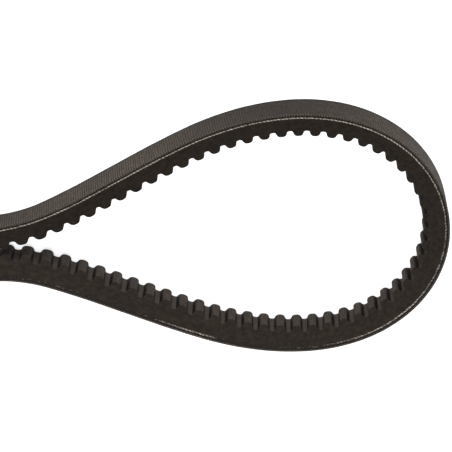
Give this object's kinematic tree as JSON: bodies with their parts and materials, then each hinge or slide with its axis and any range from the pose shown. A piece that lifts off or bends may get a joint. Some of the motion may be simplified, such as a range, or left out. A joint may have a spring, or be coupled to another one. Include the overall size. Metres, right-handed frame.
{
  "type": "v belt",
  "caption": "Endless raw-edge cogged V-belt, pinched at the waist into two loops; its flexing sections open the loop between pulleys.",
  "frame": {"origin": "centre of the loop, halfway across the belt's width", "axes": "+Z across the belt, along the pulley shafts; +X towards the right loop end, along the pinched loop"},
  "size_m": [0.3962, 0.1072, 0.0166],
  "materials": {
    "back_fabric": "rubber-impregnated woven cotton and polyester, dark grey-brown",
    "cushion_rubber": "matt black, ground",
    "tensile_cords": "twisted polyester cord, cream",
    "cog_rubber": "matt black, fibre-loaded, ground flanks and moulded cogs"
  },
  "bodies": {
    "section_01": {"back_fabric_01": "back_fabric", "cushion_rubber_01": "cushion_rubber", "tensile_cords_01": "tensile_cords", "cog_rubber_01": "cog_rubber"},
    "section_02": {"back_fabric_02": "back_fabric", "cushion_rubber_02": "cushion_rubber", "tensile_cords_02": "tensile_cords", "cog_rubber_02": "cog_rubber"},
    "section_03": {"back_fabric_03": "back_fabric", "cushion_rubber_03": "cushion_rubber", "tensile_cords_03": "tensile_cords", "cog_rubber_03": "cog_rubber"},
    "section_04": {"back_fabric_04": "back_fabric", "cushion_rubber_04": "cushion_rubber", "tensile_cords_04": "tensile_cords", "cog_rubber_04": "cog_rubber"},
    "section_05": {"back_fabric_05": "back_fabric", "cushion_rubber_05": "cushion_rubber", "tensile_cords_05": "tensile_cords", "cog_rubber_05": "cog_rubber"},
    "section_06": {"back_fabric_06": "back_fabric", "cushion_rubber_06": "cushion_rubber", "tensile_cords_06": "tensile_cords", "cog_rubber_06": "cog_rubber"},
    "section_07": {"back_fabric_07": "back_fabric", "cushion_rubber_07": "cushion_rubber", "tensile_cords_07": "tensile_cords", "cog_rubber_07": "cog_rubber"},
    "section_08": {"back_fabric_08": "back_fabric", "cushion_rubber_08": "cushion_rubber", "tensile_cords_08": "tensile_cords", "cog_rubber_08": "cog_rubber"},
    "section_09": {"back_fabric_09": "back_fabric", "cushion_rubber_09": "cushion_rubber", "tensile_cords_09": "tensile_cords", "cog_rubber_09": "cog_rubber"},
    "section_10": {"back_fabric_10": "back_fabric", "cushion_rubber_10": "cushion_rubber", "tensile_cords_10": "tensile_cords", "cog_rubber_10": "cog_rubber"},
    "section_11": {"back_fabric_11": "back_fabric", "cushion_rubber_11": "cushion_rubber", "tensile_cords_11": "tensile_cords", "cog_rubber_11": "cog_rubber"},
    "section_12": {"back_fabric_12": "back_fabric", "cushion_rubber_12": "cushion_rubber", "tensile_cords_12": "tensile_cords", "cog_rubber_12": "cog_rubber"},
    "section_13": {"back_fabric_13": "back_fabric", "cushion_rubber_13": "cushion_rubber", "tensile_cords_13": "tensile_cords", "cog_rubber_13": "cog_rubber"},
    "section_14": {"back_fabric_14": "back_fabric", "cushion_rubber_14": "cushion_rubber", "tensile_cords_14": "tensile_cords", "cog_rubber_14": "cog_rubber"},
    "section_15": {"back_fabric_15": "back_fabric", "cushion_rubber_15": "cushion_rubber", "tensile_cords_15": "tensile_cords", "cog_rubber_15": "cog_rubber"}
  },
  "joints": [
    {"name": "flex_valley_099", "type": "hinge", "parent": "section_12", "child": "section_13", "pos_m": [0.03266, -0.01447, 0], "axis": [0, 0, -1], "range_deg": [-16.22, 0]},
    {"name": "flex_valley_108", "type": "hinge", "parent": "section_13", "child": "section_14", "pos_m": [0.09305, -0.04253, 0], "axis": [0, 0, -1], "range_deg": [-4.01, 0]},
    {"name": "flex_valley_117", "type": "hinge", "parent": "section_14", "child": "section_15", "pos_m": [0.15802, -0.04881, 0], "axis": [0, 0, -1], "range_deg": [0, 11.23]},
    {"name": "flex_right_end", "type": "hinge", "parent": "section_15", "child": "section_01", "pos_m": [0.19646, 0, 0], "axis": [0, 0, -1], "range_deg": [0, 18]},
    {"name": "flex_valley_009", "type": "hinge", "parent": "section_01", "child": "section_02", "pos_m": [0.15802, 0.04881, 0], "axis": [0, 0, -1], "range_deg": [0, 11.23]},
    {"name": "flex_valley_018", "type": "hinge", "parent": "section_02", "child": "section_03", "pos_m": [0.09305, 0.04253, 0], "axis": [0, 0, -1], "range_deg": [-4.01, 0]},
    {"name": "flex_valley_027", "type": "hinge", "parent": "section_03", "child": "section_04", "pos_m": [0.03266, 0.01447, 0], "axis": [0, 0, -1], "range_deg": [-16.22, 0]},
    {"name": "flex_valley_090", "type": "hinge", "parent": "section_12", "child": "section_11", "pos_m": [-0.03266, -0.01447, 0], "axis": [0, 0, 1], "range_deg": [-16.22, 0]},
    {"name": "flex_valley_081", "type": "hinge", "parent": "section_11", "child": "section_10", "pos_m": [-0.09305, -0.04253, 0], "axis": [0, 0, 1], "range_deg": [-4.01, 0]},
    {"name": "flex_valley_072", "type": "hinge", "parent": "section_10", "child": "section_09", "pos_m": [-0.15802, -0.04881, 0], "axis": [0, 0, 1], "range_deg": [0, 11.23]},
    {"name": "flex_left_end", "type": "hinge", "parent": "section_09", "child": "section_08", "pos_m": [-0.19646, 0, 0], "axis": [0, 0, 1], "range_deg": [0, 18]},
    {"name": "flex_valley_054", "type": "hinge", "parent": "section_08", "child": "section_07", "pos_m": [-0.15802, 0.04881, 0], "axis": [0, 0, 1], "range_deg": [0, 11.23]},
    {"name": "flex_valley_045", "type": "hinge", "parent": "section_07", "child": "section_06", "pos_m": [-0.09305, 0.04253, 0], "axis": [0, 0, 1], "range_deg": [-4.01, 0]},
    {"name": "flex_valley_036", "type": "hinge", "parent": "section_06", "child": "section_05", "pos_m": [-0.03266, 0.01447, 0], "axis": [0, 0, 1], "range_deg": [-16.22, 0]}
  ],
  "couplings": [
    {"joint": "flex_valley_099", "follows": "flex_right_end", "ratio": -0.90097},
    {"joint": "flex_valley_108", "follows": "flex_right_end", "ratio": -0.22252},
    {"joint": "flex_valley_117", "follows": "flex_right_end", "ratio": 0.62349},
    {"joint": "flex_valley_009", "follows": "flex_right_end", "ratio": 0.62349},
    {"joint": "flex_valley_018", "follows": "flex_right_end", "ratio": -0.22252},
    {"joint": "flex_valley_027", "follows": "flex_right_end", "ratio": -0.90097},
    {"joint": "flex_valley_090", "follows": "flex_right_end", "ratio": -0.90097},
    {"joint": "flex_valley_081", "follows": "flex_right_end", "ratio": -0.22252},
    {"joint": "flex_valley_072", "follows": "flex_right_end", "ratio": 0.62349},
    {"joint": "flex_left_end", "follows": "flex_right_end", "ratio": 1},
    {"joint": "flex_valley_054", "follows": "flex_right_end", "ratio": 0.62349},
    {"joint": "flex_valley_045", "follows": "flex_right_end", "ratio": -0.22252},
    {"joint": "flex_valley_036", "follows": "flex_right_end", "ratio": -0.90097}
  ]
}
